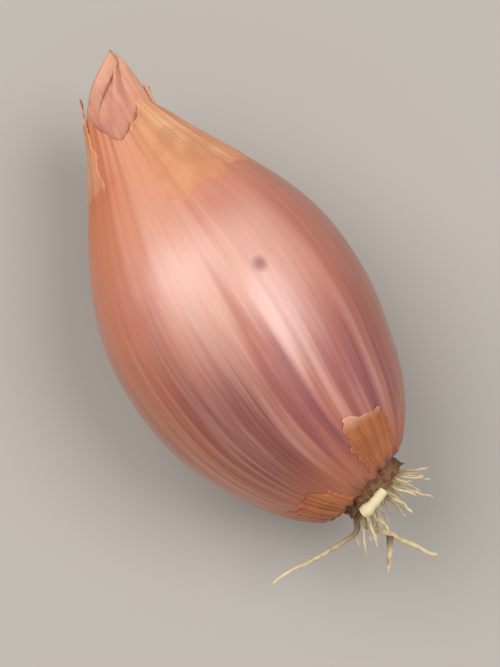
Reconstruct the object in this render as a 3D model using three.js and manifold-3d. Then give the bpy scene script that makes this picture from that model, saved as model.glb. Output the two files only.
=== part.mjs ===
// A shallot lying on its side: the bulb in its tight skin, the torn dry skin and leaf
// ends at its neck, a few scraps of old skin, and the root plate with its dry roots.
// Millimetres. +X runs from the root plate to the neck, and +Z is up.

import * as THREE from 'three';
import { mergeVertices } from 'three/addons/utils/BufferGeometryUtils.js';
import Module from 'manifold-3d';

const { Manifold, Mesh } = await startManifold();

// Driving dimensions. "along" is the distance from the root end of the bulb, and an
// angle runs round the bulb from its +Y side (0) over the top (90) to its -Y side (180).
const BULB = {
  length: 54.9, // root end to the mouth of the neck
  bellyAt: 25.5, // the widest place
  bellyRadius: 17.3,
  height: 0.94, // height over width
  rootRounding: 2.1, // how far the belly's curve would run past the root end
  taper: 0.55, // 0.5 is an ellipse, and more narrows the root end
  shoulder: 1.12, // more makes a fuller shoulder
  rest: 0.4, // depth of the small flat spot that it lies on
  lobes: 3, // a little three-sided, as bulbs that grow in a cluster are
  lobeDepth: 0.012,
  lobeAt: THREE.MathUtils.degToRad(40),
  sides: 40,
  rings: 36,
  crowding: { ends: 0.12, root: 0.35 }, // how much closer the rings stand there
};
const NECK = {
  tipAt: 62.9, // where the neck's taper ends, past its mouth
  radius: 5.9,
  taper: 2.5, // radius lost between the belly and the tip
  offset: 1.4, // how far the neck leans to -Y
  rise: 1.2, // and upwards
  dish: 1.5, // depth of the shrunken mouth
};
const ROOT_END = {
  reach: 13, // length of bulb that its slant affects
  slant: THREE.MathUtils.degToRad(16),
  lean: 17, // length of bulb that its offset affects
  offset: 3, // how far the root end sits off the axis, to -Y
};
const PLATE = { radius: 4.8, thickness: 1.4, bevel: 0.4, widestAt: 0.6, sides: 20 };
const ROOT = { radius: 0.4, halfSides: 3, steps: 8 };
const STUB = { radius: 0.75, lies: 0.6 }; // lies: how far its middle is past the plate's face
const SHORT_ROOT = {
  length: 5.6,
  lengthChange: 2.6,
  flare: 1.3, // more keeps it straighter near the plate
  lean: 0.8,
  stagger: 2.3, // how unevenly the lengths change from root to root
  shortening: 0.25, // how much of its reach a leaning root loses
  bend: 0.12,
  droop: 0.16,
};
const SKIN = { gap: 0.3, thickness: 0.45 };
const NECK_SKIN = {
  from: THREE.MathUtils.degToRad(88),
  to: THREE.MathUtils.degToRad(262),
  lower: 43.4,
  upper: 55.4,
  bigTears: { depth: 1.6, rate: 23 },
  smallTears: { depth: 1.1, rate: 9, start: 1 },
  lowerCorners: 5, // how far its corners are torn away, below and above
  upperCorners: 2.5,
  point: 1.6,
};
const LEAF_NARROWING = 0.94;
const SHRED = {
  at: 49.6,
  length: 12,
  middle: THREE.MathUtils.degToRad(22),
  width: THREE.MathUtils.degToRad(40),
  tipWidth: THREE.MathUtils.degToRad(10),
  peel: 0.9,
};
const SCRAP = { tearDepth: 0.5, tearRate: 17, narrowing: 0.35 };

const degrees = THREE.MathUtils.degToRad;
const axisHeight = BULB.bellyRadius * BULB.height - BULB.rest;

const COLOURS = {
  bulb: '#c88a7c',
  tanSkin: '#dda57c',
  pinkLeaf: '#dca48c',
  orangeSkin: '#b56f42',
  plate: '#8a6f4c',
  root: '#cdbd9c',
  rootStub: '#e8dabc',
};

async function startManifold() {
  const library = await Module();
  library.setup();
  return library;
}

function finish(name, geometry, colour, roughness) {
  geometry.computeVertexNormals();
  const material = new THREE.MeshStandardMaterial({ color: colour, roughness, metalness: 0 });
  const mesh = new THREE.Mesh(geometry, material);
  mesh.name = name;
  return mesh;
}

// ---- geometry helpers

function solidOf(geometry) {
  const bare = geometry.clone();
  bare.deleteAttribute('normal');
  bare.deleteAttribute('uv');
  const merged = mergeVertices(bare, 1e-4);
  return new Manifold(new Mesh({
    numProp: 3,
    vertProperties: new Float32Array(merged.attributes.position.array),
    triVerts: new Uint32Array(merged.index.array),
  }));
}

function geometryOf(solid) {
  const mesh = solid.getMesh();
  const geometry = new THREE.BufferGeometry();
  geometry.setAttribute('position', new THREE.BufferAttribute(mesh.vertProperties, 3));
  geometry.setIndex(new THREE.BufferAttribute(mesh.triVerts, 1));
  return geometry;
}

function indexedGeometry(points, faces) {
  const geometry = new THREE.BufferGeometry().setFromPoints(points);
  geometry.setIndex(faces.flat());
  return geometry;
}

// The walls between equal rings of points, which run anticlockwise seen from +X.
function wallFaces(rings) {
  const sides = rings[0].length;
  const faces = [];
  for (let ring = 0; ring < (rings.length - 1) * sides; ring += sides) {
    for (let i = 0; i < sides; i += 1) {
      const next = (i + 1) % sides;
      faces.push([ring + i, ring + next, ring + sides + i]);
      faces.push([ring + next, ring + sides + next, ring + sides + i]);
    }
  }
  return faces;
}

// A closed solid through rings of points, with a centre point at each end.
function loft(rings, firstCentre, lastCentre) {
  const sides = rings[0].length;
  const lastRing = (rings.length - 1) * sides;
  const first = rings.length * sides;
  const last = first + 1;
  const faces = wallFaces(rings);
  for (let i = 0; i < sides; i += 1) {
    const next = (i + 1) % sides;
    faces.push([first, next, i], [last, lastRing + i, lastRing + next]);
  }
  return indexedGeometry([...rings.flat(), firstCentre, lastCentre], faces);
}

// A closed thin sheet. place(s, t, lift) gives a point for s along and t across, 0 to 1.
function sheet(place, stepsAlong, stepsAcross) {
  const rings = [];
  for (let i = 0; i <= stepsAlong; i += 1) {
    const lower = [];
    const upper = [];
    for (let j = 0; j <= stepsAcross; j += 1) {
      lower.push(place(i / stepsAlong, j / stepsAcross, SKIN.gap));
      upper.push(place(i / stepsAlong, j / stepsAcross, SKIN.gap + SKIN.thickness));
    }
    rings.push([...upper, ...lower.reverse()]);
  }
  const sides = rings[0].length;
  const lastRing = (rings.length - 1) * sides;
  const faces = wallFaces(rings);
  for (let i = 0; i < stepsAcross; i += 1) {
    const across = sides - 1 - i;
    faces.push([i, across, i + 1], [i + 1, across, across - 1]);
    faces.push([lastRing + i, lastRing + i + 1, lastRing + across]);
    faces.push([lastRing + i + 1, lastRing + across - 1, lastRing + across]);
  }
  return indexedGeometry(rings.flat(), faces);
}

// ---- the bulb's surface, which the skins follow

function bulbRadius(along) {
  if (along < BULB.bellyAt) {
    const fall = (BULB.bellyAt - along) / (BULB.bellyAt + BULB.rootRounding);
    return BULB.bellyRadius * (1 - fall ** 2) ** BULB.taper;
  }
  const rise = (along - BULB.bellyAt) / (NECK.tipAt - BULB.bellyAt);
  const neck = NECK.radius - NECK.taper * rise;
  const swell = (1 + Math.cos(Math.PI * rise ** BULB.shoulder)) / 2;
  return neck + (BULB.bellyRadius - neck) * swell;
}

function unevenness(angle) {
  return 1 + BULB.lobeDepth * Math.cos(BULB.lobes * (angle - BULB.lobeAt));
}

function surfacePoint(along, angle) {
  const toRoot = Math.max(0, 1 - along / ROOT_END.reach);
  const toNeck = Math.max(0, (along - BULB.bellyAt) / (NECK.tipAt - BULB.bellyAt));
  const radius = bulbRadius(along) * unevenness(angle);
  const across = radius * Math.cos(angle);
  const slant = Math.tan(ROOT_END.slant) * toRoot ** 2;
  const lean = Math.max(0, 1 - along / ROOT_END.lean);
  return new THREE.Vector3(
    along - across * slant,
    across - ROOT_END.offset * lean ** 2 - NECK.offset * toNeck ** 2,
    axisHeight + radius * BULB.height * Math.sin(angle) + NECK.rise * toNeck ** 2,
  );
}

function raisedPoint(along, angle, lift) {
  const step = 0.01;
  const point = surfacePoint(along, angle);
  const forward = surfacePoint(along + step, angle).sub(point);
  const round = surfacePoint(along, angle + step).sub(point);
  return point.add(round.cross(forward).normalize().multiplyScalar(lift));
}

// ---- the pieces

function bulb() {
  const rings = [];
  for (let i = 0; i <= BULB.rings; i += 1) {
    const t = i / BULB.rings;
    const ends = BULB.crowding.ends * Math.sin(2 * Math.PI * t) / Math.PI;
    const root = BULB.crowding.root * t * (1 - t) ** 3;
    rings.push(ringAt(BULB.length * (t - ends - root)));
  }
  const rootCentre = centreOf(rings[0]);
  const mouth = centreOf(rings[rings.length - 1]);
  mouth.x -= NECK.dish;
  const whole = solidOf(loft(rings, rootCentre, mouth));
  const block = 4 * BULB.length;
  const surface = new THREE.BoxGeometry(block, block, block).translate(0, 0, -block / 2);
  return finish('bulb', geometryOf(whole.subtract(solidOf(surface))), COLOURS.bulb, 0.4);
}

function ringAt(along) {
  return Array.from({ length: BULB.sides }, (_, i) =>
    surfacePoint(along, (i / BULB.sides) * Math.PI * 2));
}

function centreOf(points) {
  return points.reduce((sum, point) => sum.add(point), new THREE.Vector3())
    .divideScalar(points.length);
}

// What is left of the outermost skin: it wraps the neck on the -Y side and the top, and
// its lower edge is torn in points. Its upper end stands up in one blunt point.
function neckSkin() {
  const { from, to, lower, upper, bigTears, smallTears } = NECK_SKIN;
  const place = (s, t, lift) => {
    const big = bigTears.depth * Math.sin(t * bigTears.rate);
    const small = smallTears.depth * Math.sin(t * smallTears.rate + smallTears.start);
    const corner = (2 * t - 1) ** 4;
    const low = lower + (big + small) * (1 - s) + NECK_SKIN.lowerCorners * corner;
    const rise = NECK_SKIN.point * Math.sin(Math.PI * t);
    const high = upper + rise - NECK_SKIN.upperCorners * corner;
    return raisedPoint(low + (high - low) * s, from + (to - from) * t, lift);
  };
  return finish('neck_skin', sheet(place, 8, 20), COLOURS.tanSkin, 0.7);
}

// A dry leaf end standing out of the mouth. It narrows to a point, which is blunt or
// slender, and it flares or leans.
function leafEnd(name, colour, { at, lean, width, length, radius, flare, blunt = 1.4 }) {
  const start = BULB.length + SKIN.gap;
  const middle = neckMiddle(start);
  const place = (s, t, lift) => {
    const half = (width / 2) * (1 - LEAF_NARROWING * s ** blunt);
    const angle = degrees(at + lean * s ** blunt + half * (2 * t - 1));
    const reach = radius + flare * s ** 2 + lift;
    return new THREE.Vector3(start + length * s, middle.y + reach * Math.cos(angle),
      middle.z + reach * Math.sin(angle));
  };
  return finish(name, sheet(place, 7, 6), colour, 0.75);
}

function neckMiddle(along) {
  const toNeck = (along - BULB.bellyAt) / (NECK.tipAt - BULB.bellyAt);
  return { y: -NECK.offset * toNeck ** 2, z: axisHeight + NECK.rise * toNeck ** 2 };
}

function neckLeaves() {
  return [
    leafEnd('neck_leaf_pink', COLOURS.pinkLeaf,
      { at: 78, lean: 66, width: 150, length: 8.6, radius: 4, flare: -0.2, blunt: 2 }),
    leafEnd('neck_leaf_under', COLOURS.tanSkin,
      { at: 280, lean: -14, width: 112, length: 5.4, radius: 3.4, flare: 0.4 }),
    leafEnd('neck_leaf_inner', COLOURS.pinkLeaf,
      { at: 170, lean: 10, width: 96, length: 6.2, radius: 1.4, flare: 0.6 }),
    leafEnd('neck_leaf_side', COLOURS.orangeSkin,
      { at: 190, lean: 6, width: 56, length: 4, radius: 3.7, flare: 1 }),
  ];
}

// A torn strip that lifts off the neck on its +Y side.
function neckShred() {
  const place = (s, t, lift) => {
    const width = SHRED.width + (SHRED.tipWidth - SHRED.width) * s;
    const angle = SHRED.middle + width * (t - 0.5);
    return raisedPoint(SHRED.at + SHRED.length * s, angle, lift + SHRED.peel * s ** 2);
  };
  return finish('neck_shred', sheet(place, 8, 4), COLOURS.pinkLeaf, 0.75);
}

// A scrap of old skin that still clings near the root plate.
function skinScrap(name, { from, to, low, high }) {
  const place = (s, t, lift) => {
    const torn = SCRAP.tearDepth * Math.sin(t * SCRAP.tearRate) * s;
    const side = (t - 0.5) * (1 - SCRAP.narrowing * s);
    const angle = degrees((from + to) / 2 + (to - from) * side);
    return raisedPoint(low + (high - low) * s + torn, angle, lift);
  };
  return finish(name, sheet(place, 5, 8), COLOURS.orangeSkin, 0.7);
}

function skinScraps() {
  return [
    skinScrap('base_skin_flake', { from: 98, to: 134, low: 1, high: 9.1 }),
    skinScrap('base_skin_scrap_left', { from: 22, to: 72, low: 1, high: 3.8 }),
    skinScrap('base_skin_scrap_under', { from: 196, to: 256, low: 1, high: 4.6 }),
  ];
}

// The root end has its own axes: local z points away from the bulb, local y is up, and
// local x points to the row's -Y side.
function rootEnd() {
  const outward = new THREE.Vector3(-Math.cos(ROOT_END.slant), -Math.sin(ROOT_END.slant), 0);
  const up = new THREE.Vector3(0, 0, 1);
  const side = new THREE.Vector3().crossVectors(up, outward);
  const group = new THREE.Group();
  group.quaternion.setFromRotationMatrix(new THREE.Matrix4().makeBasis(side, up, outward));
  group.position.set(0, -ROOT_END.offset, axisHeight).addScaledVector(outward, SKIN.gap);
  group.add(rootPlate(), ...longRoots(), rootStub(), ...rootTuft());
  return group;
}

function rootPlate() {
  const { radius, thickness, bevel, widestAt, sides } = PLATE;
  const profile = [[0, 0], [radius - bevel, 0], [radius, widestAt],
    [radius - bevel, thickness], [0, thickness]].map(([x, y]) => new THREE.Vector2(x, y));
  const disc = new THREE.LatheGeometry(profile, sides).rotateX(Math.PI / 2);
  return finish('root_plate', disc, COLOURS.plate, 0.9);
}

function rootTube(points, radius = ROOT.radius) {
  const section = new THREE.Shape();
  section.absarc(0, 0, radius, 0, Math.PI * 2);
  const path = new THREE.CatmullRomCurve3(points.map((point) => new THREE.Vector3(...point)));
  return new THREE.ExtrudeGeometry(section, {
    steps: ROOT.steps,
    curveSegments: ROOT.halfSides,
    extrudePath: path,
  });
}

// Two roots that kept their length: one is forked and trails behind, one runs to +Y.
function longRoots() {
  const foot = PLATE.thickness + SKIN.gap;
  const trailing = [[-3.4, -2.2, foot], [-4.3, -3.2, foot + 1], [-3.9, -4, foot + 2.7],
    [-3.1, -4.5, foot + 5], [-2.4, -4.9, foot + 7.8], [-1.5, -5.3, foot + 10.2],
    [-0.9, -6, foot + 11.7]];
  const fork = [[-3.1, -4.5, foot + 5.2], [-5, -5.2, foot + 6.8], [-6.9, -6, foot + 8.4]];
  const sideways = [[-3.3, 0.2, foot], [-5.4, -0.8, foot + 1.2], [-8.6, -3, foot + 0.9],
    [-12, -5, foot], [-15.4, -6.6, foot - 1.2], [-18.2, -7.2, foot - 1.6]];
  const forked = solidOf(rootTube(trailing)).add(solidOf(rootTube(fork)));
  return [
    finish('root_trailing', geometryOf(forked), COLOURS.root, 0.85),
    finish('root_sideways', rootTube(sideways), COLOURS.root, 0.85),
  ];
}

// A short fat root that broke off pale: it lies across the top of the plate's edge.
function rootStub() {
  const lies = PLATE.thickness + STUB.lies;
  const points = [[-3, 4.9, lies], [-1.9, 5.3, lies], [-0.6, 5.5, lies], [0.8, 5.3, lies]];
  return finish('root_stub', rootTube(points, STUB.radius), COLOURS.rootStub, 0.7);
}

// The short broken roots fan out from an arc, a small circle and the middle of the plate.
function rootTuft() {
  const circles = [{ count: 8, radius: 2.9, spread: 0.85, first: -95, step: 22 },
    { count: 3, radius: 1.25, spread: 0.4, first: 20, step: 120 },
    { count: 1, radius: 0, spread: 0, first: 0, step: 0 }];
  const roots = [];
  for (const circle of circles) {
    for (let i = 0; i < circle.count; i += 1) {
      const number = roots.length + 1;
      const angle = degrees(circle.first + circle.step * i);
      roots.push(shortRoot(number, angle, circle));
    }
  }
  return roots;
}

function shortRoot(number, angle, { radius, spread }) {
  const { flare, lean, shortening, bend, droop } = SHORT_ROOT;
  const length = SHORT_ROOT.length + SHORT_ROOT.lengthChange * Math.sin(number * SHORT_ROOT.stagger);
  const foot = PLATE.thickness + SKIN.gap;
  const points = [0, 0.35, 0.7, 1].map((s) => {
    const out = radius + spread * length * lean * s ** flare;
    const swing = angle + bend * Math.sin(s * 3 + number);
    return [out * Math.cos(swing), out * Math.sin(swing) - droop * length * s ** 2,
      foot + length * s * (1 - shortening * s * spread)];
  });
  const name = `root_${String(number).padStart(2, '0')}`;
  return finish(name, rootTube(points), COLOURS.root, 0.85);
}

// ---- the whole, standing on the middle of its own box

function shallot() {
  const group = new THREE.Group();
  group.add(bulb(), neckSkin(), ...neckLeaves(), neckShred(), ...skinScraps(), rootEnd());
  const box = new THREE.Box3().setFromObject(group, true);
  const middle = box.getCenter(new THREE.Vector3());
  group.position.set(-middle.x, -middle.y, -box.min.z);
  return group;
}

export default shallot();
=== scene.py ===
import math

import bmesh
import bpy
from mathutils import Matrix, Vector, noise


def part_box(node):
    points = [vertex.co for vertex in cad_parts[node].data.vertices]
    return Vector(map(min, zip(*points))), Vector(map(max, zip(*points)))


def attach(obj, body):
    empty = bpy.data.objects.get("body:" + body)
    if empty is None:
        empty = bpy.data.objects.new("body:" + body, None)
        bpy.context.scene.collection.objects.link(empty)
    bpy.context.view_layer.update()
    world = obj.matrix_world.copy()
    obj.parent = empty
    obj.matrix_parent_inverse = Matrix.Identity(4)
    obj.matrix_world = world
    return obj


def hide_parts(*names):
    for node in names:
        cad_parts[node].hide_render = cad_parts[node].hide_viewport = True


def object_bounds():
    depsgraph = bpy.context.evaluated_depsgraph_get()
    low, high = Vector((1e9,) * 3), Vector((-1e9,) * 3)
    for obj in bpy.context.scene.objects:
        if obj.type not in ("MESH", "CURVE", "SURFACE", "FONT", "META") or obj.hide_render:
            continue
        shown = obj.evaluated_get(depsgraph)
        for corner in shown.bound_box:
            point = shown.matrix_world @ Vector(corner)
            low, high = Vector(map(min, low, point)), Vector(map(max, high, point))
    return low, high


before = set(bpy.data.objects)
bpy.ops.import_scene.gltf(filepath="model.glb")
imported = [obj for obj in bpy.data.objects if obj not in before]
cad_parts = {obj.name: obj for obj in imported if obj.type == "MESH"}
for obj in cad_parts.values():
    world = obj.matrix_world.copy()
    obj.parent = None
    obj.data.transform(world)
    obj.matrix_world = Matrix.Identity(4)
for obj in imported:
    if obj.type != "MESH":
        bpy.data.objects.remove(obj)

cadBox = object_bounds()
mm = 0.001
fullTurn = 2 * math.pi
weld = 0.001 * mm        # points closer than this become one


# a socket that takes part in sums: 1 - mask adds the Math node that works it out
class Wire:
    def __init__(self, graph, socket):
        self.graph = graph
        self.socket = socket

    def math(self, operation, first, second=0.0):
        return self.graph.add("ShaderNodeMath", {"operation": operation}, {0: first, 1: second})

    def __add__(self, other):
        return self.math("ADD", self, other)

    def __radd__(self, other):
        return self.math("ADD", other, self)

    def __sub__(self, other):
        return self.math("SUBTRACT", self, other)

    def __rsub__(self, other):
        return self.math("SUBTRACT", other, self)

    def __mul__(self, other):
        return self.math("MULTIPLY", self, other)

    def __rmul__(self, other):
        return self.math("MULTIPLY", other, self)

    def __truediv__(self, other):
        return self.math("DIVIDE", self, other)

    def __rtruediv__(self, other):
        return self.math("DIVIDE", other, self)

    def __pow__(self, other):
        return self.math("POWER", self, other)

    def __abs__(self):
        return self.math("ABSOLUTE", self)


# a node tree, geometry or shader; add makes every node in it
class Graph:
    def __init__(self, tree):
        self.tree = tree

    def add(self, kind, settings=None, values=None, out=None):
        node = self.tree.nodes.new(kind)
        for name, value in (settings or {}).items():
            setattr(node, name, value)
        for key, value in (values or {}).items():
            socket = self.pick(node.inputs, key)
            if isinstance(value, Wire):
                self.tree.links.new(value.socket, socket)
            else:
                socket.default_value = value
        if not node.outputs:
            return None
        if isinstance(out, tuple):
            return [Wire(self, self.pick(node.outputs, name)) for name in out]
        return Wire(self, self.pick(node.outputs, out))

    # sockets are picked by place or by name; a node's unused ones share names, so they are passed over
    def pick(self, sockets, key):
        if isinstance(key, int):
            return sockets[key]
        live = [socket for socket in sockets if socket.enabled]
        return live[0] if key is None else next(s for s in live if s.name == key)


def sine(wire):
    return wire.math("SINE", wire)


def cosine(wire):
    return wire.math("COSINE", wire)


def larger(first, second):
    return first.math("MAXIMUM", first, second)


# 0 below start, 1 above end, and a smooth slope between them
def slope(wire, start, end):
    return wire.graph.add("ShaderNodeMapRange", {"interpolation_type": "SMOOTHSTEP"},
                          {"Value": wire, "From Min": start, "From Max": end})


def straight(wire, start, end, first=0.0, last=1.0):
    return wire.graph.add("ShaderNodeMapRange", {"interpolation_type": "LINEAR"},
                          {"Value": wire, "From Min": start, "From Max": end,
                           "To Min": first, "To Max": last})


def joined(graph, x, y, z):
    return graph.add("ShaderNodeCombineXYZ", {}, {0: x, 1: y, 2: z})


# a geometry tree with a named input for each size; build gives the shape
def makeTree(name, sizes, build):
    tree = bpy.data.node_groups.new(name, "GeometryNodeTree")
    tree.interface.new_socket("Geometry", in_out="INPUT", socket_type="NodeSocketGeometry")
    tree.interface.new_socket("Geometry", in_out="OUTPUT", socket_type="NodeSocketGeometry")
    tree.interface.new_socket("Material", in_out="INPUT", socket_type="NodeSocketMaterial")
    for key, value in sizes.items():
        kind = "NodeSocketInt" if isinstance(value, int) else "NodeSocketFloat"
        tree.interface.new_socket(key, in_out="INPUT", socket_type=kind)
    graph = Graph(tree)
    names = ("Geometry", "Material", *sizes)
    size = dict(zip(names, graph.add("NodeGroupInput", out=names)))
    real = graph.add("GeometryNodeRealizeInstances", {}, {"Geometry": build(graph, size)})
    coated = graph.add("GeometryNodeSetMaterial", {},
                       {"Geometry": real, "Material": size["Material"]})
    graph.add("NodeGroupOutput", {}, {"Geometry": coated})
    return tree


# runs a geometry tree, and keeps its result as a plain mesh
def grow(name, tree, sizes, material, start=None, wall=0.0):
    seed = bpy.data.objects.new(name + "Seed", start or bpy.data.meshes.new(name + "Seed"))
    bpy.context.collection.objects.link(seed)
    modifier = seed.modifiers.new("Grow", "NODES")
    modifier.node_group = tree
    values = {**sizes, "Material": material}
    for item in tree.interface.items_tree:
        if item.in_out == "INPUT" and item.name in values:
            modifier[item.identifier] = values[item.name]
    if wall:
        addWall(seed, wall)
    return settle(name, seed)


def addWall(piece, wall):
    solidify = piece.modifiers.new("Wall", "SOLIDIFY")
    solidify.thickness = wall
    solidify.offset = 1


def settle(name, seed):
    graph = bpy.context.evaluated_depsgraph_get()
    mesh = bpy.data.meshes.new_from_object(seed.evaluated_get(graph))
    mesh.name = name
    bpy.data.objects.remove(seed)
    piece = bpy.data.objects.new(name, mesh)
    bpy.context.collection.objects.link(piece)
    return piece


def keep(piece, slot, *nodes):
    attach(piece, "root")
    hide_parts(*nodes)


# the linear colour of a hex code
def shade(code):
    parts = [int(code[i:i + 2], 16) / 255 for i in (1, 3, 5)]
    return (*[((p + 0.055) / 1.055) ** 2.4 if p > 0.04045 else p / 12.92 for p in parts], 1)


def blend(amount, first, second):
    return amount.graph.add("ShaderNodeMix", {"data_type": "RGBA"},
                            {"Factor": amount, "A": first, "B": second})


def stretched(vector, x, y, z):
    return vector.graph.add("ShaderNodeVectorMath", {"operation": "MULTIPLY"},
                            {0: vector, 1: (x, y, z)})


def mottle(vector, scale, detail, roughness=0.5):
    return vector.graph.add("ShaderNodeTexNoise", {},
                            {"Vector": vector, "Scale": scale, "Detail": detail,
                             "Roughness": roughness})


# a pattern that follows the skin: stretch says how fine it is around the bulb and along it
def grained(grain, stretch, detail, roughness=0.5):
    return mottle(stretched(grain, *stretch), 1, detail, roughness)


# a mask that rises over a zone (start, end, pushes); each pattern pushes the value by its share
def within(zone, value, *patterns):
    start, end, *pushes = zone
    for pattern, push in zip(patterns, pushes):
        value = value + (pattern - 0.5) * push
    return slope(value, start, end)


def newMaterial(name):
    material = bpy.data.materials.new(name)
    material.use_nodes = True
    material.node_tree.nodes.clear()
    return material, Graph(material.node_tree)


def bumped(height, depth, strength):
    return height.graph.add("ShaderNodeBump", {},
                            {"Strength": strength, "Distance": depth, "Height": height})


def coat(graph, **values):
    sockets = {key.replace("_", " "): value for key, value in values.items()}
    shader = graph.add("ShaderNodeBsdfPrincipled", {}, sockets)
    graph.add("ShaderNodeOutputMaterial", {}, {"Surface": shader})


def grainOf(graph):
    return graph.add("ShaderNodeAttribute", {"attribute_name": "grain"}, out="Vector")


def placeOf(graph):
    return graph.add("ShaderNodeTexCoord", {}, out="Object")


# the bulb's skin: its paints, the one dark spot, and its shine
skinPaint = {
    "pink": "#bc7763",
    "rose": "#a35442",
    "umber": "#76322a",
    # a dark brown for the root's ragged fringe, and for the darker root end, which is partly painted
    # shade
    "mauve": "#8c474c",
    "vein": "#6c2b38",
    "pale": "#dba996",
    # a paler pink for the upper belly: partly the skin's own paleness, partly a painted sheen
    "bloom": "#e0b4a6",
    "copper": "#b65c2c",
    "rust": "#8d3f1c",
    "ring": "#a85a30",
    "neck": "#c4845f",
    "spot": "#7a2026",
    "spotAlong": 31.0 * mm,
    "spotTurn": math.radians(111),
    "neckLean": 0.1,
    "bloomLean": -0.15,
    "blushClouds": 3,
    "streaksOver": 0.5,
    "shine": 0.36,
    "threadShine": 0.16,
    "neckDull": 0.2,
    "waxCoat": 0.9,
    "waxLostAtNeck": 0.9,
    "waxBlur": 0.38,
    "softness": 0.1,
    "softReach": (3 * mm, 1.2 * mm, 0.8 * mm),
    "bumpDepth": 0.1 * mm,
    "bumpStrength": 0.55,
}
# each pattern: how fine it is, then its detail and roughness
skinGrain = {
    "bands": ((5, 5, 0.3), 2),
    "streaks": ((10, 10, 0.4), 2.4, 0.45),
    "threads": ((46, 46, 1.0), 2),
    "clouds": (75, 3),
    "pores": (900, 2),
}
skinBumps = {"threads": 0.5, "streaks": 0.9, "pores": 0.25}
# where each mask rises, and how far the patterns push it: lengthwise in belly radii from the
# root, sideways from -1 to 1, and 0 to 1 in a pattern
skinZones = {
    "rootward": (0.55, 1.75, 1.1),
    "neckward": (2.0, 2.95, 0.6),
    "roseClouds": (0.35, 0.65),
    # mauve on the -Y side: the skin's own colour, and painted shade towards that edge
    "mauveSide": (-0.25, 0.9, 0.8),
    "mauveBands": (0.48, 0.62),
    # darker towards the root on the bulb's +Y side: partly the skin's darker colour, partly painted
    # shade
    "duskyRoot": (0.9, 2.1, 0.8),
    "duskySide": (-0.12, 0.25),
    "veinStreaks": (0.45, 0.72),
    "paleStreaks": (0.32, 0.52),
    "overStreaks": (0.42, 0.66),
    # copper on the +Y side and rust at the -Y edge: the skin's own colours, and painted shade towards
    # the edges
    "copperSide": (0.5, 0.95, 0.5),
    "rustSide": (0.62, 0.98, 0.3),
    "veinThreads": (0.45, 0.7),
    "paleThreads": (0.3, 0.5),
    # where the pale patch with its painted sheen starts and ends along the bulb, and how far round its
    # top it reaches
    "bloomStart": (0.9, 1.75, -1.5, -0.8),
    "bloomEnd": (2.0, 2.5),
    "bloomTop": (0.72, 1),
    "neckCopper": (0.15, 0.8),
    "neckBlush": (0.05, 0.5),
    "blushClouds": (0.42, 0.6),
    "rootRing": (0.08, 0.55, 0.5),
    "fringe": (0.0, 0.1, 0.3, 0.1),
    "spot": (0.01, 0.09, 0.06),
}
# each coat: its paint, how much of it goes on, and how much more near the root
skinCoats = {
    "roseClouds": ("rose", 0.5, 0),
    "roseRoot": ("rose", 0.7, 0),
    "mauveSide": ("mauve", 0.2, 0.55),
    "mauveBands": ("mauve", 0.05, 0.5),
    "umberRoot": ("umber", 0.95, 0),
    "veinStreaks": ("vein", 0.1, 0.6),
    "paleStreaks": ("pale", 0.08, 0.3),
    "copperSide": ("copper", 0.85, 0),
    "rustSide": ("rust", 0.85, 0),
    "veinThreads": ("vein", 0.13, 0),
    "paleThreads": ("pale", 0.1, 0),
    "bloom": ("bloom", 0.5, 0),
    "neck": ("neck", 0.8, 0),
    "neckCopper": ("copper", 0.5, 0),
    "neckRose": ("rose", 0.15, 0),
    "rootRing": ("ring", 0.75, 0),
    "fringe": ("umber", 0.85, 0),
    "spot": ("spot", 0.8, 0),
}


# how far a place on the skin is from one spot of it, as a part of the belly's radius
def farFrom(grain, along, turn):
    spot = (math.cos(turn), math.sin(turn), along / bulbSizes["Belly Radius"])
    return grain.graph.add("ShaderNodeVectorMath", {"operation": "DISTANCE"},
                           {0: grain, 1: spot}, "Value")


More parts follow.
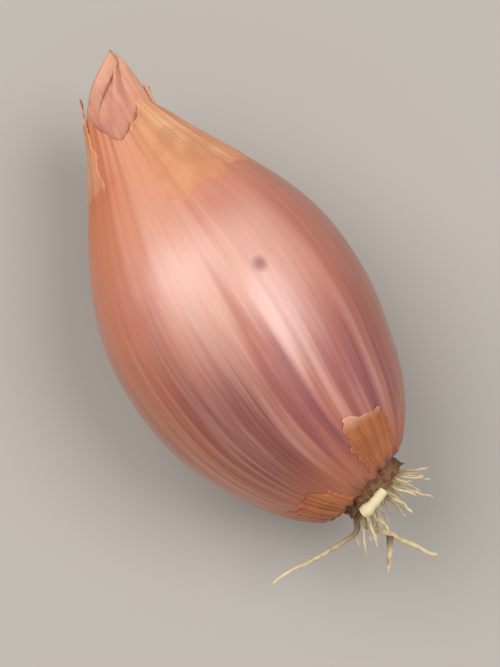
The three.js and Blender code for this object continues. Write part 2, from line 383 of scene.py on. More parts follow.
def bulbSkin():
    material, graph = newMaterial("bulbSkin")
    grain = grainOf(graph)
    side, top, way = graph.add("ShaderNodeSeparateXYZ", {}, {0: grain}, out=("X", "Y", "Z"))
    place = placeOf(graph)
    bands = grained(grain, *skinGrain["bands"])
    streaks = grained(grain, *skinGrain["streaks"])
    threads = grained(grain, *skinGrain["threads"])
    clouds = mottle(place, *skinGrain["clouds"])
    pores = mottle(place, *skinGrain["pores"])
    zones = skinZones

    rootward = 1 - within(zones["rootward"], way, bands)
    neckward = within(zones["neckward"], way + side * skinPaint["neckLean"], bands)
    # the root end darkens on the +Y side: partly the skin's own colour, partly painted shade
    duskyRoot = 1 - within(zones["duskyRoot"], way, bands)
    # the side colours, darkened towards the edges as painted shade, show less where a dark streak runs
    # over them
    between = 1 - within(zones["overStreaks"], streaks) * skinPaint["streaksOver"]
    # a pale patch on the top of the upper belly: partly paler skin, partly a painted sheen where the
    # top faces the light
    bloomStart = within(zones["bloomStart"], way, streaks, bands)
    bloomEnd = 1 - within(zones["bloomEnd"], way)
    bloomTop = within(zones["bloomTop"], top + side * skinPaint["bloomLean"])
    blush = 1 + skinPaint["blushClouds"] * within(zones["blushClouds"], clouds)
    spotFar = farFrom(grain, skinPaint["spotAlong"], skinPaint["spotTurn"])

    # where each coat of paint goes, in the order that they go on
    coats = {
        "roseClouds": within(zones["roseClouds"], clouds),
        "roseRoot": rootward,
        # the side coats darken the skin towards its edges: partly its own colours, partly painted
        # shade
        "mauveSide": within(zones["mauveSide"], 0 - side, clouds),
        "mauveBands": within(zones["mauveBands"], bands),
        "umberRoot": duskyRoot * within(zones["duskySide"], side),
        "veinStreaks": within(zones["veinStreaks"], streaks),
        "paleStreaks": 1 - within(zones["paleStreaks"], streaks),
        "copperSide": within(zones["copperSide"], side, bands) * between,
        "rustSide": within(zones["rustSide"], 0 - side, bands) * between,
        "veinThreads": within(zones["veinThreads"], threads),
        "paleThreads": 1 - within(zones["paleThreads"], threads),
        "bloom": bloomStart * bloomEnd * bloomTop,
        "neck": neckward,
        "neckCopper": neckward * within(zones["neckCopper"], side),
        "neckRose": neckward * within(zones["neckBlush"], side) * blush,
        "rootRing": 1 - within(zones["rootRing"], way, streaks),
        "fringe": 1 - within(zones["fringe"], way, streaks, threads),
        "spot": 1 - within(zones["spot"], spotFar, clouds),
    }
    colour = shade(skinPaint["pink"])
    for name, where in coats.items():
        paint, amount, nearRoot = skinCoats[name]
        if nearRoot:
            amount = amount + nearRoot * rootward
        colour = blend(where * amount, colour, shade(skinPaint[paint]))

    lustre = (skinPaint["shine"] + skinPaint["threadShine"] * (threads - 0.5)
              + neckward * skinPaint["neckDull"])
    wax = skinPaint["waxCoat"] * (1 - neckward * skinPaint["waxLostAtNeck"])
    height = (threads * skinBumps["threads"] + streaks * skinBumps["streaks"]
              + pores * skinBumps["pores"])
    coat(graph, Base_Color=colour, Roughness=lustre,
         Normal=bumped(height, skinPaint["bumpDepth"], skinPaint["bumpStrength"]),
         Coat_Weight=wax, Coat_Roughness=skinPaint["waxBlur"],
         Subsurface_Weight=skinPaint["softness"], Subsurface_Radius=skinPaint["softReach"])
    return material


# dry skin: fibres run along it, and its torn edge is paler or darker than the rest
paperGrain = {
    "bands": ((9, 9, 0.5), 2),
    "fibres": ((38, 38, 1.2), 3, 0.6),
    "patches": (260, 3, 0.6),
    "stains": (150, 3),
}
paperZones = {
    "warm": (0.4, 0.6),
    "dark": (0.5, 0.75),
    "pale": (0.28, 0.46),
    "stains": (0.52, 0.68),
    "tip": (0.4, 0.56, 0.2),
}
paperLook = {
    "bandShare": 0.6,
    "dark": 0.4,
    "pale": 0.5,
    "stains": 0.4,
    "edge": 0.8,
    "edgeWander": 0.5,
    "tip": 0.85,
    "roughness": 0.44,
    "uneven": 0.25,
    "patchBumps": 0.6,
    "bumpDepth": 0.12 * mm,
    "bumpStrength": 0.7,
}
tanPaint = {"main": "#c8926c", "warm": "#bf815e", "dark": "#a06844", "pale": "#d9b185",
            "edge": "#bd7a58", "edgeAt": 0.45}
pinkPaint = {"main": "#c98d74", "warm": "#b97a64", "dark": "#9c6354", "pale": "#dbad92",
             "edge": "#d09a7c", "edgeAt": 0.8}
# orange skin: its tip colour is a painted highlight on the base flake's upper end
orangePaint = {"main": "#b56a3d", "warm": "#99562f", "dark": "#733e24", "pale": "#c78a5c",
               "edge": "#a8603a", "edgeAt": 0.8, "tip": "#dca88c"}


def paperSkin(name, paint):
    material, graph = newMaterial(name)
    grain = grainOf(graph)
    edge = graph.add("ShaderNodeAttribute", {"attribute_name": "edge"}, out="Fac")
    place = placeOf(graph)
    bands = grained(grain, *paperGrain["bands"])
    fibres = grained(grain, *paperGrain["fibres"])
    patches = mottle(place, *paperGrain["patches"])
    stains = mottle(place, *paperGrain["stains"])
    zones, look = paperZones, paperLook
    warmth = bands * look["bandShare"] + patches * (1 - look["bandShare"])
    colour = blend(within(zones["warm"], warmth), shade(paint["main"]), shade(paint["warm"]))
    colour = blend(within(zones["dark"], fibres) * look["dark"], colour, shade(paint["dark"]))
    colour = blend((1 - within(zones["pale"], fibres)) * look["pale"], colour,
                   shade(paint["pale"]))
    colour = blend(within(zones["stains"], stains) * look["stains"], colour,
                   shade(paint["dark"]))
    edgeZone = (paint["edgeAt"], 1, look["edgeWander"])
    colour = blend(within(edgeZone, edge, patches) * look["edge"], colour, shade(paint["edge"]))
    # orange skin turns paler further along the bulb; on the base flake this is a painted highlight on
    # its upper end
    if "tip" in paint:
        way = graph.add("ShaderNodeSeparateXYZ", {}, {0: grain}, out="Z")
        colour = blend(within(zones["tip"], way, patches) * look["tip"], colour,
                       shade(paint["tip"]))
    height = fibres + patches * look["patchBumps"]
    coat(graph, Base_Color=colour, Roughness=look["roughness"] + look["uneven"] * patches,
         Normal=bumped(height, look["bumpDepth"], look["bumpStrength"]))
    return material


# roots are brown near the plate and straw beyond it, with grey patches where they are worn
rootPaint = {
    "straw": "#d3c096",
    "grey": "#a8977a",
    "brown": "#6b4c36",
    "cream": "#d6c8a2",
    "patches": (700, 3, 0.6),
    "strawWorn": 1,
    "creamWorn": 0.3,
    "greyZone": (0.4, 0.7),
    "nearZone": (0.02, 0.5, 0.4),
    "nearAmount": 0.85,
    "roughness": 0.7,
    "uneven": 0.2,
    "bumpDepth": 0.1 * mm,
    "bumpStrength": 0.6,
}


def rootSkin(name, far, near, worn):
    material, graph = newMaterial(name)
    way = graph.add("ShaderNodeAttribute", {"attribute_name": "way"}, out="Fac")
    patches = mottle(placeOf(graph), *rootPaint["patches"])
    colour = blend(within(rootPaint["greyZone"], patches) * worn, shade(far),
                   shade(rootPaint["grey"]))
    atPlate = 1 - within(rootPaint["nearZone"], way, patches)
    colour = blend(atPlate * rootPaint["nearAmount"], colour, shade(near))
    coat(graph, Base_Color=colour, Roughness=rootPaint["roughness"] + rootPaint["uneven"] * patches,
         Normal=bumped(patches, rootPaint["bumpDepth"], rootPaint["bumpStrength"]))
    return material


# the root plate is brown and crumbly, with dry patches
corkPaint = {
    "dark": "#53341f",
    "light": "#8a6242",
    "dry": "#b0875c",
    "crumbs": (1300, 4, 0.65),
    "patches": (420, 2),
    "crumbZone": (0.3, 0.7),
    "dryZone": (0.5, 0.7),
    "dryAmount": 0.6,
    "roughness": 0.8,
    "uneven": 0.15,
    "bumpDepth": 0.3 * mm,
    "bumpStrength": 0.8,
}


def corkSkin():
    material, graph = newMaterial("corkSkin")
    place = placeOf(graph)
    crumbs = mottle(place, *corkPaint["crumbs"])
    patches = mottle(place, *corkPaint["patches"])
    colour = blend(within(corkPaint["crumbZone"], crumbs), shade(corkPaint["dark"]),
                   shade(corkPaint["light"]))
    colour = blend(within(corkPaint["dryZone"], patches) * corkPaint["dryAmount"], colour,
                   shade(corkPaint["dry"]))
    coat(graph, Base_Color=colour, Roughness=corkPaint["roughness"] + corkPaint["uneven"] * crumbs,
         Normal=bumped(crumbs, corkPaint["bumpDepth"], corkPaint["bumpStrength"]))
    return material


# the bulb: one rule gives its surface, and the old skins follow the same rule
bulbLength = 54.9 * mm
rootSlant = math.radians(16)
bulbSizes = {
    "Length": bulbLength,
    "Belly At": 25.5 * mm,
    "Belly Radius": 17.3 * mm,
    "Height": 0.94,
    "Root Rounding": 2.1 * mm,
    "Root Taper": 0.55,
    "Shoulder": 1.12,
    "Neck Tip At": 62.9 * mm,
    "Neck Radius": 5.9 * mm,
    "Neck Taper": 2.5 * mm,
    "Neck Offset": 1.4 * mm,
    "Neck Rise": 1.2 * mm,
    "Root Reach": 13 * mm,
    "Root Slant": math.tan(rootSlant),
    "Root Lean": 17 * mm,
    "Root Offset": 3 * mm,
    "Root X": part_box("bulb")[1].x - bulbLength,        # the mouth is at the solid bulb's far end
    "Axis Y": 0.1 * mm,
    "Axis Z": 15.862 * mm,
    "Three Sides": 0.012,        # the bulb is very slightly three-sided
    "Sides At": math.radians(40),
    "Lumps": 0.7 * mm,
    "Veins": 0.16 * mm,
    "Pleats": 2.6 * mm,
    "Puckers": 2.3 * mm,
}
bulbMesh = {
    "Rows": 300,
    "Columns": 310,
    "Crowding": 0.55,
    "Root Cap": 0.03,
    "Mouth Cap": 0.07,
    "Mouth Depth": 4.5 * mm,
    "Mouth Curve": 0.4,
    "Root Edge": 0.12,
    "Root Ragged": 3.2 * mm,
    "Root Tears": 6.5,
    "Root Detail": 3.0,
    "Root Whole": 0.42,
    "Rim Edge": 0.8,
    "Rim Ragged": 2.4 * mm,
    "Rim Tears": 4.0,
    "Rim Detail": 4.0,
    "Rim Rise": 3.4 * mm,
    "Rise At": math.radians(26),
    "Rise Width": 0.35,
    "Notch At": math.radians(72),
    "Notch Width": math.radians(34),
    "Notch Depth": 2.4 * mm,
}
# how often each kind of relief changes around the bulb and along it
reliefGrain = {
    "Lumps": (1.3, 1),
    "Veins": (15, 0.5),
    "Pleats": (4.4, 0.35),
    "Puckers": (10, 0.6),
}


# noise on the skin: around and lengthwise say how often it changes in each direction
def skinNoise(graph, size, along, turn, around, lengthwise, detail=1.0):
    spot = joined(graph, cosine(turn) * around, sine(turn) * around,
                  along / size["Belly Radius"] * lengthwise)
    return graph.add("ShaderNodeTexNoise", {}, {"Vector": spot, "Scale": 1, "Detail": detail})


def towardsNeck(size, along):
    return larger(along - size["Belly At"], 0) / (size["Neck Tip At"] - size["Belly At"])


def towardsRoot(size, along, reach):
    return larger(1 - along / size[reach], 0)


def skinRelief(graph, size, along, turn):
    lumps, veins, pleats, puckers = [
        (skinNoise(graph, size, along, turn, *grain) - 0.5) * size[name]
        for name, grain in reliefGrain.items()]
    return (lumps + veins + pleats * towardsNeck(size, along) ** 2
            + puckers * towardsRoot(size, along, "Root Reach") ** 3)


def skinRadius(size, along, turn):
    fall = larger(size["Belly At"] - along, 0) / (size["Belly At"] + size["Root Rounding"])
    toNeck = towardsNeck(size, along)
    neck = size["Neck Radius"] - size["Neck Taper"] * toNeck
    swell = (cosine(toNeck ** size["Shoulder"] * math.pi) + 1) / 2
    threeSided = cosine((turn - size["Sides At"]) * 3) * size["Three Sides"] + 1
    belly = neck + (size["Belly Radius"] - neck) * swell
    return (1 - fall ** 2) ** size["Root Taper"] * belly * threeSided


# the bulb lies on its side: below the floor's level its skin is pressed flat
def skinPoint(graph, size, along, turn, radius):
    across = radius * cosine(turn)
    slant = across * size["Root Slant"] * towardsRoot(size, along, "Root Reach") ** 2
    toNeck = towardsNeck(size, along) ** 2
    lean = size["Root Offset"] * towardsRoot(size, along, "Root Lean") ** 2
    height = size["Axis Z"] + radius * size["Height"] * sine(turn) + size["Neck Rise"] * toNeck
    return joined(graph, size["Root X"] + along - slant,
                  size["Axis Y"] + across - lean - size["Neck Offset"] * toNeck,
                  larger(height, 0))


def unitGrid(graph, size):
    grid = graph.add("GeometryNodeMeshGrid", {}, {"Size X": 1, "Size Y": 1,
                     "Vertices X": size["Rows"], "Vertices Y": size["Columns"]})
    spot = graph.add("GeometryNodeInputPosition")
    x, y = graph.add("ShaderNodeSeparateXYZ", {}, {0: spot}, out=("X", "Y"))
    return grid, x + 0.5, y + 0.5


def marked(graph, mesh, name, value, kind="FLOAT"):
    return graph.add("GeometryNodeStoreNamedAttribute", {"data_type": kind, "domain": "POINT"},
                     {"Geometry": mesh, "Name": name, "Value": value})


# grain says where a point is on the skin, so that every pattern follows the surface
def shaped(graph, size, mesh, point, along, turn):
    grain = joined(graph, cosine(turn), sine(turn), along / size["Belly Radius"])
    veined = marked(graph, mesh, "grain", grain, "FLOAT_VECTOR")
    moved = graph.add("GeometryNodeSetPosition", {}, {"Geometry": veined, "Position": point})
    closed = graph.add("GeometryNodeMergeByDistance", {}, {"Geometry": moved, "Distance": weld})
    return graph.add("GeometryNodeSetShadeSmooth", {}, {"Geometry": closed, "Shade Smooth": True})


# rows run from the middle of the root end to the bottom of the mouth; both ends close to a point
def growBulb(graph, size):
    grid, row, column = unitGrid(graph, size)
    turn = (1 - column) * fullTurn
    t = straight(row, size["Root Cap"], 1 - size["Mouth Cap"])
    rootCap = straight(row, 0, size["Root Cap"], 1, 0)
    mouthCap = straight(row, 1 - size["Mouth Cap"], 1)
    along = size["Length"] * (t - sine(t * fullTurn) * (size["Crowding"] / fullTurn))
    tears = skinNoise(graph, size, 0, turn, size["Rim Tears"], 0, size["Rim Detail"]) - 0.5
    notch = 1 - slope(abs(turn - size["Notch At"]), 0, size["Notch Width"])
    high = slope(cosine(turn - size["Rise At"]), size["Rise Width"], 1)
    torn = tears * size["Rim Ragged"] - notch * size["Notch Depth"] + high * size["Rim Rise"]
    along = along + torn * slope(t, size["Rim Edge"], 1) * (1 - mouthCap)
    bites = skinNoise(graph, size, 0, turn, size["Root Tears"], 0, size["Root Detail"])
    scallops = larger(bites - size["Root Whole"], 0)
    atRoot = (1 - slope(t, 0, size["Root Edge"])) * (1 - rootCap)
    along = along + scallops * size["Root Ragged"] * atRoot
    radius = skinRadius(size, along, turn) + skinRelief(graph, size, along, turn)
    radius = radius * (1 - rootCap) * (1 - mouthCap)
    inward = along - size["Mouth Depth"] * mouthCap ** size["Mouth Curve"]
    point = skinPoint(graph, size, inward, turn, radius)
    return shaped(graph, size, grid, point, along, turn)


def makeBulb():
    sizes = {**bulbSizes, **bulbMesh}
    piece = grow("bulbBody", makeTree("Bulb", sizes, growBulb), sizes, bulbSkin())
    keep(piece, "bulb_skin", "bulb")


# old skins that lie on the bulb; each of them changes a few of these sizes
skinWall = 0.06 * mm
skinSheet = {
    "Rows": 100,
    "Columns": 170,
    "Low": 43.4 * mm,
    "High": 55.6 * mm,
    "From": math.radians(90),
    "To": math.radians(262),
    "Lift": 0.06 * mm,
    "Curl": 0.0,
    "Sink": 0.16 * mm,
    "Sink From": 0.9,
    "Peel": 0.0,
    "Narrow": 0.0,
    "Round": 0.0,
    "Waves": 2.2,
    "Wave Height": 3.4 * mm,
    "Tear Waves": 3.0,
    "Tear Detail": 4.0,
    "Ragged": 1.4 * mm,
    "Side Ragged": 0.4,
    "Low Torn": 1.0,
    "High Torn": 0.6,
    "High Lane": 50 * mm,
    "Side Lane": 40 * mm,
    "Peak": 0.0,
    "Peak At": math.radians(136),
    "Peak Width": 0.7,
}
# how often these change around the bulb and along it, and their detail
sheetGrain = {"side": (2, 3, 4), "curl": (5, 2)}
orangeScrap = {"Low": 0.4 * mm, "Low Torn": 0.0, "Narrow": 0.25, "Ragged": 1 * mm,
               "Side Ragged": 0.2, "Sink": 0.12 * mm}
oldSkins = {
    "neckSkin": ("tan_skin", "neck_skin", {
        "High": 54 * mm, "Peak": 3.4 * mm}),
    "neckShred": ("dry_leaf", "neck_shred", {
        "Low": 49.4 * mm, "High": 61.4 * mm, "From": math.radians(0), "To": math.radians(48),
        "Peel": 0.35 * mm, "Narrow": 0.85, "Wave Height": 2 * mm, "Ragged": 1 * mm,
        "Side Ragged": 0.35, "Rows": 90, "Columns": 40}),
    "baseFlake": ("orange_skin", "base_skin_flake", {
        "Low": 1 * mm, "High": 6.6 * mm, "From": math.radians(98), "To": math.radians(138),
        "Round": 0.15, "Narrow": 0.3, "Low Torn": 0.0, "Waves": 5.0, "Wave Height": 2.4 * mm,
        "Ragged": 1.4 * mm, "Side Ragged": 0.35, "Peak": 2.6 * mm,
        "Peak At": math.radians(108), "Curl": 0.3 * mm, "Sink": 0.12 * mm, "Rows": 80,
        "Columns": 80}),
    "baseScrapLeft": ("orange_skin", "base_skin_scrap_left", {
        **orangeScrap, "High": 3.8 * mm, "From": math.radians(22), "To": math.radians(72),
        "Waves": 6.0, "Wave Height": 2.6 * mm, "Rows": 50, "Columns": 70}),
    "baseScrapUnder": ("orange_skin", "base_skin_scrap_under", {
        **orangeScrap, "High": 4.6 * mm, "From": math.radians(192), "To": math.radians(258),
        "Waves": 5.0, "Wave Height": 3 * mm, "Rows": 56, "Columns": 80}),
}


# a torn edge: long waves with small tears on them; another lane of the noise gives another edge
def tornEdge(graph, size, turn, lane):
    waves = skinNoise(graph, size, lane, turn, size["Waves"], 1, 1) - 0.5
    finer = size["Waves"] * size["Tear Waves"]
    tears = skinNoise(graph, size, lane, turn, finer, 1, size["Tear Detail"]) - 0.5
    return waves * size["Wave Height"] * 2 + tears * size["Ragged"]


def growSkin(graph, size):
    grid, row, column = unitGrid(graph, size)
    middle = (size["From"] + size["To"]) / 2
    rounding = 1 - abs(2 * row - 1) ** 3 * size["Round"]
    half = (size["To"] - size["From"]) / 2 * (1 - row * size["Narrow"]) * rounding
    sideTear = skinNoise(graph, size, row * size["Side Lane"], size["From"], *sheetGrain["side"])
    turn = middle + half * (1 - 2 * column) + (sideTear - 0.5) * size["Side Ragged"]
    low = size["Low"] + tornEdge(graph, size, turn, 0) * size["Low Torn"]
    peak = (1 - slope(abs(turn - size["Peak At"]), 0, size["Peak Width"])) * size["Peak"]
    highTorn = tornEdge(graph, size, turn, size["High Lane"]) * size["High Torn"]
    high = size["High"] + highTorn + peak
    along = low + (high - low) * row
    # the lower and side edges curl up where the skin has a curl, and their rim sinks into the bulb
    edge = larger(1 - row * 2, abs(2 * column - 1))
    flutter = skinNoise(graph, size, along, turn, *sheetGrain["curl"])
    curled = size["Curl"] * edge ** 6 * flutter
    sunk = size["Sink"] * slope(edge, size["Sink From"], 1)
    lift = size["Lift"] + curled + size["Peel"] * row ** 2 - sunk
    radius = skinRadius(size, along, turn) + skinRelief(graph, size, along, turn) + lift
    point = skinPoint(graph, size, along, turn, radius)
    return shaped(graph, size, marked(graph, grid, "edge", edge), point, along, turn)


def makeSkins(tan, orange):
    materials = {"tan_skin": tan, "dry_leaf": tan, "orange_skin": orange}
    sizes = {**bulbSizes, **skinSheet}
    tree = makeTree("Old skin", sizes, growSkin)
    for name, (slot, node, changes) in oldSkins.items():
        piece = grow(name, tree, {**sizes, **changes}, materials[slot], wall=skinWall)
        keep(piece, slot, node)


# dry leaf ends, which come out of the mouth of the neck: angles in degrees, lengths in mm
leafEnds = {
    "leafPink": {"node": "neck_leaf_pink", "slot": "dry_leaf", "at": 74, "lean": 68, "width": 176,
                 "start": 48, "tip": 63.4, "radius": 4.8, "flare": -0.9, "blunt": 3, "seed": 3},
    "leafUnder": {"node": "neck_leaf_under", "slot": "tan_skin", "at": 280, "lean": -14,
                  "width": 130, "start": 49, "tip": 60, "radius": 4.4, "flare": -0.6,
                  "blunt": 1.6, "seed": 11},
    "leafInner": {"node": "neck_leaf_inner", "slot": "dry_leaf", "at": 172, "lean": 10,
                  "width": 150, "start": 49, "tip": 61, "radius": 2.6, "flare": -1,
                  "blunt": 1.6, "seed": 19},
    "leafSide": {"node": "neck_leaf_side", "slot": "orange_skin", "at": 190, "lean": 6,
                 "width": 84, "start": 49, "tip": 58.6, "radius": 4.3, "flare": 0.5,
                 "blunt": 1.6, "seed": 27},
}
leafSheet = {
    "rows": 56,
    "columns": 36,
    "wall": 0.1 * mm,
    "narrowing": 0.97,
    "torn": 0.12,
    "tearsAcross": 4,
    "foldDepth": 0.9,
    "foldsAcross": 2.2,
    "foldsAlong": 0.8,
    "edgeCurl": 0.4,
}


# the middle of the neck at a distance from the root
def neckMiddle(along):
    toNeck = (along - bulbSizes["Belly At"]) / (bulbSizes["Neck Tip At"] - bulbSizes["Belly At"])
    return Vector((bulbSizes["Root X"] + along,
                   bulbSizes["Axis Y"] - bulbSizes["Neck Offset"] * toNeck ** 2,
                   bulbSizes["Axis Z"] + bulbSizes["Neck Rise"] * toNeck ** 2))


# s runs from the leaf's root to its tip, and t from 1 to -1 across it
def leafPoint(leaf, s, t):
    tears = noise.noise(Vector((t * leafSheet["tearsAcross"], leaf["seed"], 0)))
    fold = noise.noise(Vector((t * leafSheet["foldsAcross"], s * leafSheet["foldsAlong"],
                               leaf["seed"])))
    half = leaf["width"] / 2 * (1 - leafSheet["narrowing"] * s ** leaf["blunt"])
    angle = math.radians(leaf["at"] + leaf["lean"] * s ** leaf["blunt"] + half * t)
    reach = (leaf["radius"] + leaf["flare"] * s ** 2 + leafSheet["foldDepth"] * fold * s
             + leafSheet["edgeCurl"] * s * t ** 4)
    along = leaf["start"] + (leaf["tip"] - leaf["start"]) * s * (1 + leafSheet["torn"] * tears)
    around = Vector((0, math.cos(angle), math.sin(angle)))
    return neckMiddle(along * mm) + around * reach * mm, angle, along, max(s, abs(t))


def leafPiece(name, leaf, material):
    rows, columns = leafSheet["rows"], leafSheet["columns"]
    points, grains, edges, faces = [], [], [], []
    for i in range(rows + 1):
        for j in range(columns + 1):
            point, angle, along, edge = leafPoint(leaf, i / rows, 1 - 2 * j / columns)
            points.append(point)
            edges.append(edge)
            grains.append((math.cos(angle), math.sin(angle), along * mm / bulbSizes["Belly Radius"]))
    for i in range(rows):
        for j in range(columns):
            corner = i * (columns + 1) + j
            faces.append((corner, corner + columns + 1, corner + columns + 2, corner + 1))
    mesh = bpy.data.meshes.new(name + "Seed")
    mesh.from_pydata(points, [], faces)
    grain = mesh.attributes.new("grain", "FLOAT_VECTOR", "POINT")
    grain.data.foreach_set("vector", [part for g in grains for part in g])
    mesh.attributes.new("edge", "FLOAT", "POINT").data.foreach_set("value", edges)
    mesh.shade_smooth()
    mesh.materials.append(material)
    seed = bpy.data.objects.new(name + "Seed", mesh)
    bpy.context.collection.objects.link(seed)
    addWall(seed, leafSheet["wall"])
    return settle(name, seed)


def makeLeaves(tan, pink, orange):
    materials = {"tan_skin": tan, "dry_leaf": pink, "orange_skin": orange}
    for name, leaf in leafEnds.items():
        keep(leafPiece(name, leaf, materials[leaf["slot"]]), leaf["slot"], leaf["node"])


# the root end has its own axes: z points away from the bulb, y up, x to the bulb's -Y side
plate = {
    "radius": 4.8 * mm,
    "thickness": 1.4 * mm,
    "gap": 0.3 * mm,
    "rows": 34,
    "columns": 96,
    "backUntil": 0.3,
    "rimUntil": 0.5,
    "back": -1.2,
    "rim": 0.85,
    "rimSwell": 0.04,
    "faceWaves": 6,
    "faceWave": 0.15,
    "faceDish": 0.25,
    "lobes": 2,
    "lobeSeed": 5,
    "lobeDepth": 0.2,
    "narrowed": 0.94,
    "crumbs": 3.2,
    "crumbRough": 0.8,
    "crumbGap": 2.1,
    "crumbLayers": 5,
    "rimCrumble": 0.14,
    "faceCrumble": 0.4,
}


def rootAxes():
    outward = Vector((-math.cos(rootSlant), -math.sin(rootSlant), 0))
    up = Vector((0, 0, 1))
    side = up.cross(outward)
    place = Vector((bulbSizes["Root X"], bulbSizes["Axis Y"] - bulbSizes["Root Offset"],
                    bulbSizes["Axis Z"])) + outward * plate["gap"]
    turned = Matrix((side, up, outward)).transposed().to_4x4()
    return Matrix.Translation(place) @ turned


# the profile runs from behind the plate, round its rim, and over its worn face
def plateProfile(row):
    back, rim = plate["backUntil"], plate["rimUntil"]
    if row < back:
        return row / back, plate["back"]
    if row < rim:
        swing = (row - back) / (rim - back) * math.pi / 2
        rise = (plate["rim"] - plate["back"]) * math.sin(swing)
        return 1 + plate["rimSwell"] * math.sin(2 * swing), plate["back"] + rise
    radius = 1 - (row - rim) / (1 - rim)
    wave = plate["faceWave"] * math.cos(radius * plate["faceWaves"])
    return radius, plate["rim"] + wave - plate["faceDish"] * (1 - radius) ** 2


def platePoint(row, turn):
    radius, height = plateProfile(row)
    around = Vector((math.cos(turn), math.sin(turn), 0))
    spot = around * radius + Vector((0, 0, height))
    crumble = noise.fractal(spot * plate["crumbs"], plate["crumbRough"], plate["crumbGap"],
                            plate["crumbLayers"])
    lobe = noise.noise(around * plate["lobes"] + Vector((0, 0, plate["lobeSeed"])))
    radius *= plate["narrowed"] + plate["lobeDepth"] * lobe
    radius *= 1 + plate["rimCrumble"] * crumble
    if row > plate["backUntil"]:
        height += plate["faceCrumble"] * crumble
    return around * radius * plate["radius"] + Vector((0, 0, height * plate["thickness"]))


def makePlate():
    rows, columns = plate["rows"], plate["columns"]
    points = [platePoint(i / rows, fullTurn * j / columns) for i in range(rows + 1)
              for j in range(columns)]
    faces = []
    for i in range(rows):
        for j in range(columns):
            after = (j + 1) % columns
            faces.append((i * columns + j, (i + 1) * columns + j,
                          (i + 1) * columns + after, i * columns + after))
    mesh = bpy.data.meshes.new("rootPlate")
    mesh.from_pydata(points, [], faces)
    mesh.transform(rootAxes())
    piece = bpy.data.objects.new("rootPlate", mesh)
    bpy.context.collection.objects.link(piece)
    closePoles(mesh)
    mesh.shade_smooth()
    mesh.materials.append(corkSkin())
    keep(piece, "root_plate", "root_plate")


def closePoles(mesh):
    work = bmesh.new()
    work.from_mesh(mesh)
    bmesh.ops.remove_doubles(work, verts=work.verts, dist=weld)
    bmesh.ops.recalc_face_normals(work, faces=work.faces)
    work.to_mesh(mesh)
    work.free()


# a dry root: how it wanders, and how its girth tapers and knots
rootThread = {
    "Thickness": 0.27 * mm,
    "Tip": 0.4,
    "Wander": 1.2 * mm,
    "Wander Start": 0.7,
    "Kink": 330.0,
    "Knots": 0.25,
    "Knot Grain": 1500.0,
    "Steps": 26,
    "Sides": 9,
    "Seed": 4,
    "Seed Gap": 0.1,
}
shortRoots = 12        # the tuft replaces this many nodes
rootTuft = {
    "Count": 40,
    "Turn": math.radians(137.5),
    "Spread": 0.95,
    "Shortest": 2.4 * mm,
    "Longest": 7.4 * mm,
    "Foot Radius": 3.6 * mm,
    "Foot Drop": 0.9 * mm,
    "Foot Height": 0.9 * mm,
    "Droop": 0.16,
}
# the long roots and the stub: lines in mm on the root end's axes, where a second line is a fork
longRoots = {
    "rootTrailing": {
        "node": "root_trailing", "slot": "roots", "seed": 2, "thickness": 0.5, "tip": 0.5,
        "wander": 0.5, "lines": [
            [(-3.4, -2.2, 0.8), (-4.3, -3.2, 2.7), (-3.9, -4, 4.4), (-3.1, -4.5, 6.7),
             (-2.4, -4.9, 9.5), (-1.5, -5.3, 11.9), (-0.9, -6, 13.4)],
            [(-3.1, -4.5, 6.9), (-5, -5.2, 8.5), (-6.9, -6, 10.1)]]},
    "rootSideways": {
        "node": "root_sideways", "slot": "roots", "seed": 7, "thickness": 0.4, "tip": 0.5,
        "wander": 0.5, "lines": [
            [(-3.3, 0.2, 1), (-5.4, -0.8, 2.9), (-8.6, -3, 2.6), (-12, -5, 1.7),
             (-15.4, -6.6, 0.5), (-18.2, -7.2, 0.1)]]},
    "rootStub": {
        "node": "root_stub", "slot": "root_stub", "seed": 5, "thickness": 0.85, "tip": 0.75,
        "wander": 0.15, "lines": [
            [(-3, 4.5, 1.5), (-1.9, 4.9, 1.6), (-0.6, 5.1, 1.6), (0.8, 4.9, 1.5)]]},
}


# gives a curve the wandering path and the tapering, knotty body of a dry root
def rootBody(graph, size, curve):
    way = graph.add("GeometryNodeSplineParameter", {}, {}, "Factor")
    spot = graph.add("GeometryNodeInputPosition")
    seeded = graph.add("ShaderNodeVectorMath", {"operation": "ADD"},
                       {0: spot, 1: joined(graph, size["Seed"] * size["Seed Gap"], 0, 0)})
    wander = graph.add("ShaderNodeTexNoise", {},
                       {"Vector": seeded, "Scale": size["Kink"], "Detail": 1}, "Color")
    centred = graph.add("ShaderNodeVectorMath", {"operation": "SUBTRACT"},
                        {0: wander, 1: (0.5, 0.5, 0.5)})
    stray = way ** size["Wander Start"] * size["Wander"] * 2
    offset = graph.add("ShaderNodeVectorMath", {"operation": "SCALE"},
                       {0: centred, "Scale": stray})
    bent = graph.add("GeometryNodeSetPosition", {}, {"Geometry": curve, "Offset": offset})
    graded = marked(graph, bent, "way", way)
    knots = graph.add("ShaderNodeTexNoise", {},
                      {"Vector": seeded, "Scale": size["Knot Grain"], "Detail": 1})
    girth = (1 - way * (1 - size["Tip"])) * (1 + (knots - 0.5) * 2 * size["Knots"])
    section = graph.add("GeometryNodeCurvePrimitiveCircle", {},
                        {"Resolution": size["Sides"], "Radius": size["Thickness"]})
    tube = graph.add("GeometryNodeCurveToMesh", {}, {"Curve": graded, "Profile Curve": section,
                     "Scale": girth, "Fill Caps": True})
    return graph.add("GeometryNodeSetShadeSmooth", {}, {"Geometry": tube, "Shade Smooth": True})


def growRoot(graph, size):
    line = graph.add("GeometryNodeMeshToCurve", {}, {"Mesh": size["Geometry"]})
    smooth = graph.add("GeometryNodeCurveSplineType", {"spline_type": "CATMULL_ROM"},
                       {"Curve": line})
    even = graph.add("GeometryNodeResampleCurve", {}, {"Curve": smooth, "Count": size["Steps"]})
    return rootBody(graph, size, even)


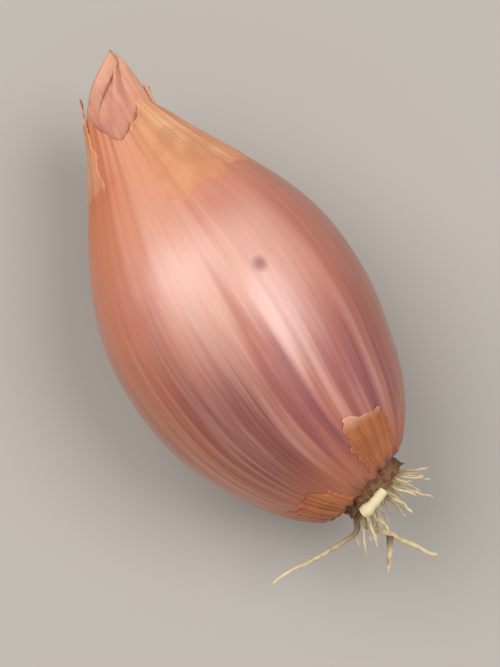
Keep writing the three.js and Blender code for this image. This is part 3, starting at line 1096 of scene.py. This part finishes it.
# the feet fill a disc evenly, as seeds do in a flower head
def growTuft(graph, size):
    index = graph.add("GeometryNodeInputIndex")
    turn = index * size["Turn"]
    out = ((index + 0.5) / size["Count"]) ** 0.5
    across, up = cosine(turn) * out, sine(turn) * out
    place = joined(graph, across * size["Foot Radius"],
                   up * size["Foot Radius"] - size["Foot Drop"], size["Foot Height"])
    feet = graph.add("GeometryNodePoints", {}, {"Count": size["Count"], "Position": place})
    random = graph.add("FunctionNodeRandomValue", {"data_type": "FLOAT"},
                       {"Min": size["Shortest"], "Max": size["Longest"], "Seed": size["Seed"]})
    aim = joined(graph, across * size["Spread"], up * size["Spread"], 1)
    facing = graph.add("FunctionNodeAlignRotationToVector", {"axis": "Z"}, {"Vector": aim})
    line = graph.add("GeometryNodeCurvePrimitiveLine", {}, {"Start": (0, 0, 0), "End": (0, 0, 1)})
    even = graph.add("GeometryNodeResampleCurve", {}, {"Curve": line, "Count": size["Steps"]})
    spread = graph.add("GeometryNodeInstanceOnPoints", {},
                       {"Points": feet, "Instance": even, "Rotation": facing,
                        "Scale": joined(graph, random, random, random)})
    real = graph.add("GeometryNodeRealizeInstances", {}, {"Geometry": spread})
    way, far = graph.add("GeometryNodeSplineParameter", {}, {}, ("Factor", "Length"))
    sag = joined(graph, 0, way * far * size["Droop"] * -1, 0)
    hung = graph.add("GeometryNodeSetPosition", {}, {"Geometry": real, "Offset": sag})
    return rootBody(graph, size, hung)


def pathMesh(name, lines):
    points, edges = [], []
    for line in lines:
        edges += [(len(points) + i, len(points) + i + 1) for i in range(len(line) - 1)]
        points += [Vector(point) * mm for point in line]
    mesh = bpy.data.meshes.new(name + "Path")
    mesh.from_pydata(points, edges, [])
    return mesh


def makeRoots():
    straw = rootSkin("rootStraw", rootPaint["straw"], rootPaint["brown"], rootPaint["strawWorn"])
    cream = rootSkin("rootCream", rootPaint["cream"], rootPaint["cream"], rootPaint["creamWorn"])
    materials = {"roots": straw, "root_stub": cream}
    tree = makeTree("Long root", rootThread, growRoot)
    for name, root in longRoots.items():
        changes = {"Thickness": root["thickness"] * mm, "Seed": root["seed"],
                   "Tip": root["tip"], "Wander": root["wander"] * mm}
        piece = grow(name, tree, {**rootThread, **changes}, materials[root["slot"]],
                     start=pathMesh(name, root["lines"]))
        piece.data.transform(rootAxes())
        keep(piece, root["slot"], root["node"])
    sizes = {**rootThread, **rootTuft}
    tuft = grow("rootTuft", makeTree("Root tuft", sizes, growTuft), sizes, straw)
    tuft.data.transform(rootAxes())
    keep(tuft, "roots", *[f"root_{i + 1:02d}" for i in range(shortRoots)])


# floor, sky and camera
studio = {
    "floor": "#a5a19c",
    "floorRoughness": 0.9,
    "floorReach": 6,
    "floorLevel": -0.02 * mm,
    "sky": "#f2efeb",
    "skyStrength": 0.6,
    "lens": 120,
    "frameHeight": 86 * mm,
    "frameX": -0.7 * mm,
    "frameY": -0.4 * mm,
    "rollDegrees": -122.1,
}
# each light: where it shines from, how wide it looks in degrees, its strength and its tint
lights = {
    "neckLight": ((0.31, 0.13, 0.36), 50, 2.0, (1, 0.97, 0.93)),
    "topLight": ((-0.02, -0.27, 0.44), 32, 1.6, (1, 0.98, 0.97)),
}


def makeFloor():
    mesh = bpy.data.meshes.new("floor")
    reach = studio["floorReach"]
    corners = [(-reach, -reach), (reach, -reach), (reach, reach), (-reach, reach)]
    mesh.from_pydata([(*corner, studio["floorLevel"]) for corner in corners], [], [(0, 1, 2, 3)])
    floor = bpy.data.objects.new("floor", mesh)
    bpy.context.collection.objects.link(floor)
    material, graph = newMaterial("floorPaint")
    coat(graph, Base_Color=shade(studio["floor"]), Roughness=studio["floorRoughness"])
    mesh.materials.append(material)


def makeLights():
    for name, (place, width, strength, tint) in lights.items():
        light = bpy.data.lights.new(name, "SUN")
        light.angle = math.radians(width)
        light.energy = strength
        light.color = tint
        lamp = bpy.data.objects.new(name, light)
        lamp.location = place
        lamp.rotation_euler = (-Vector(place)).to_track_quat("-Z", "Y").to_euler()
        bpy.context.collection.objects.link(lamp)
    world = bpy.data.worlds.new("studio")
    bpy.context.scene.world = world
    world.use_nodes = True
    sky = world.node_tree.nodes["Background"]
    sky.inputs["Color"].default_value = shade(studio["sky"])
    sky.inputs["Strength"].default_value = studio["skyStrength"]
    bpy.context.scene.view_settings.view_transform = "Standard"


# the camera looks straight down
def makeCamera():
    lens = bpy.data.cameras.new("camera")
    lens.lens = studio["lens"]
    camera = bpy.data.objects.new("camera", lens)
    middle = (cadBox[0] + cadBox[1]) / 2
    away = studio["frameHeight"] * studio["lens"] / lens.sensor_width
    camera.location = (studio["frameX"], studio["frameY"], middle.z + away)
    camera.rotation_euler = (0, 0, math.radians(studio["rollDegrees"]))
    bpy.context.collection.objects.link(camera)
    bpy.context.scene.camera = camera


makeCamera()
makeLights()
makeFloor()
print("stage: camera, lights and floor are in")

makeBulb()
print("stage: the bulb is grown")

tanSkin = paperSkin("tanSkin", tanPaint)
pinkSkin = paperSkin("pinkSkin", pinkPaint)
orangeSkin = paperSkin("orangeSkin", orangePaint)
makeSkins(tanSkin, orangeSkin)
makeLeaves(tanSkin, pinkSkin, orangeSkin)
print("stage: old skins and leaf ends are on")

makePlate()
makeRoots()
print("stage: root plate and roots are on")
